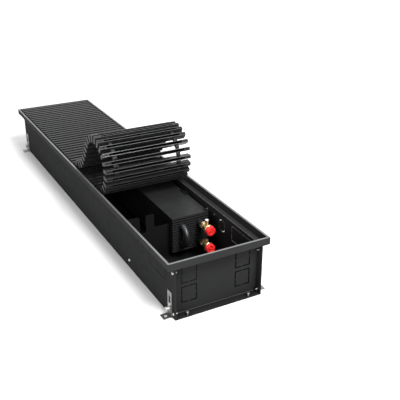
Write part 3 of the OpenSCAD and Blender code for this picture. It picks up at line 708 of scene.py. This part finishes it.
def shown_white(tree, strength_light, strength_seen):
    """Strength that is strength_seen for the rays that show it, and strength_light for those that light."""
    path = tree.nodes.new("ShaderNodeLightPath")
    seen = path.outputs["Is Camera Ray"]
    for ray in ("Is Glossy Ray", "Is Transmission Ray"):
        either = tree.nodes.new("ShaderNodeMath")
        either.operation = "MAXIMUM"
        tree.links.new(seen, either.inputs[0])
        tree.links.new(path.outputs[ray], either.inputs[1])
        seen = either.outputs[0]
    return remap(tree, seen, strength_light, strength_seen, 0.0, 1.0)


WORLD_LIGHT = 0.34
world = bpy.data.worlds.new("studio")
bpy.context.scene.world = world
world.use_nodes = True
background = world.node_tree.nodes["Background"]
background.inputs["Color"].default_value = (1, 1, 1, 1)
world.node_tree.links.new(shown_white(world.node_tree, WORLD_LIGHT, 1.0), background.inputs["Strength"])


def white_floor():
    """Floor paint that takes the object's shadow and shows itself white further out, where the lamps fade."""
    # Distances from the middle, which count less along the object, between which the white comes in
    along, inner, outer, whitest = 0.3, 0.25, 0.65, 0.8
    material = bpy.data.materials.new("floor")
    material.use_nodes = True
    tree = material.node_tree
    tree.nodes.clear()
    out = tree.nodes.new("ShaderNodeOutputMaterial")
    diffuse = tree.nodes.new("ShaderNodeBsdfDiffuse")
    diffuse.inputs["Color"].default_value = (0.86, 0.86, 0.86, 1)
    distance = tree.nodes.new("ShaderNodeVectorMath")
    distance.operation = "LENGTH"
    tree.links.new(place(tree, (1, along, 1)), distance.inputs[0])
    away = remap(tree, distance.outputs["Value"], 0.0, whitest, inner, outer)
    strength = tree.nodes.new("ShaderNodeMath")
    strength.operation = "MULTIPLY"
    tree.links.new(away, strength.inputs[0])
    tree.links.new(shown_white(tree, 0.0, 1.0), strength.inputs[1])
    lift = tree.nodes.new("ShaderNodeEmission")
    lift.inputs["Color"].default_value = (1, 1, 1, 1)
    tree.links.new(strength.outputs[0], lift.inputs["Strength"])
    both = tree.nodes.new("ShaderNodeAddShader")
    tree.links.new(diffuse.outputs[0], both.inputs[0])
    tree.links.new(lift.outputs[0], both.inputs[1])
    tree.links.new(both.outputs[0], out.inputs["Surface"])
    return material


FLOOR_HALF, FLOOR_DROP = 30.0, 0.3 * MM
corners = [(x * FLOOR_HALF, y * FLOOR_HALF, 0) for x, y in ((-1, -1), (1, -1), (1, 1), (-1, 1))]
floor_mesh = bpy.data.meshes.new("floor")
floor_mesh.from_pydata(corners, [], [[0, 1, 2, 3]])
floor_mesh.materials.append(white_floor())
floor = in_scene("floor", floor_mesh)
floor.location.z = -FLOOR_DROP
floor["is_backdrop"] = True


# Lamps

def softbox(name, centre, target, size, power, size_y=None):
    """Rectangular lamp at centre, aimed at target, that the camera doesn't see."""
    lamp = bpy.data.lights.new(name, "AREA")
    lamp.shape = "RECTANGLE"
    lamp.size = size
    lamp.size_y = size_y or size
    lamp.energy = power
    box = in_scene(name, lamp)
    box.location = centre
    aim = Vector(target) - Vector(centre)
    box.rotation_euler = aim.to_track_quat("-Z", "Y").to_euler()
    box.visible_camera = False


softbox("key", (0.28, -2.0, 2.6), (0, -0.2, 0.08), 0.85, 105)
softbox("front", (-0.3, -3.4, 1.9), (0.05, -0.45, 0.08), 1.3, 45)
softbox("strip", (0.0, -0.75, 3.0), (0, -0.1, 0.2), 2.0, 22, 0.18)
softbox("overhead", (0.1, 0.6, 3.0), (0, 0.1, 0.2), 2.0, 22, 0.2)
softbox("back", (2.4, 4.6, 1.25), (0.2, 0.6, 0.15), 4.2, 8, 1.0)
softbox("high_back", (1.9, 4.2, 3.15), (0, -0.3, 0.15), 5.0, 32, 1.7)
softbox("left", (-2.8, -1.9, 0.55), (-0.13, -0.2, 0.08), 1.8, 58, 0.8)


# Camera, from the photograph's own perspective

YAW, PITCH, ROLL = math.radians(28.515), math.radians(25.372), math.radians(0.173)
FOCAL_PIXELS, IMAGE_PIXELS, SENSOR = 666.54, 400.0, 36.0
CAMERA_PLACE = (-0.64837, -1.70339, 0.87593)
ahead = Vector((math.sin(YAW) * math.cos(PITCH), math.cos(YAW) * math.cos(PITCH), -math.sin(PITCH)))
level_right = Vector((math.cos(YAW), -math.sin(YAW), 0))
level_up = level_right.cross(ahead)
right = level_right * math.cos(ROLL) + level_up * math.sin(ROLL)
up = right.cross(ahead)
camera_data = bpy.data.cameras.new("camera")
camera_data.sensor_width = SENSOR
camera_data.lens = FOCAL_PIXELS / IMAGE_PIXELS * SENSOR
camera_data.clip_start = 0.01
camera_data.clip_end = 200
camera = in_scene("camera", camera_data)
turn = Matrix((right, up, -ahead)).transposed().to_4x4()
camera.matrix_world = Matrix.Translation(CAMERA_PLACE) @ turn
bpy.context.scene.camera = camera
bpy.context.scene.view_settings.view_transform = "Standard"

low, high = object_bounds()
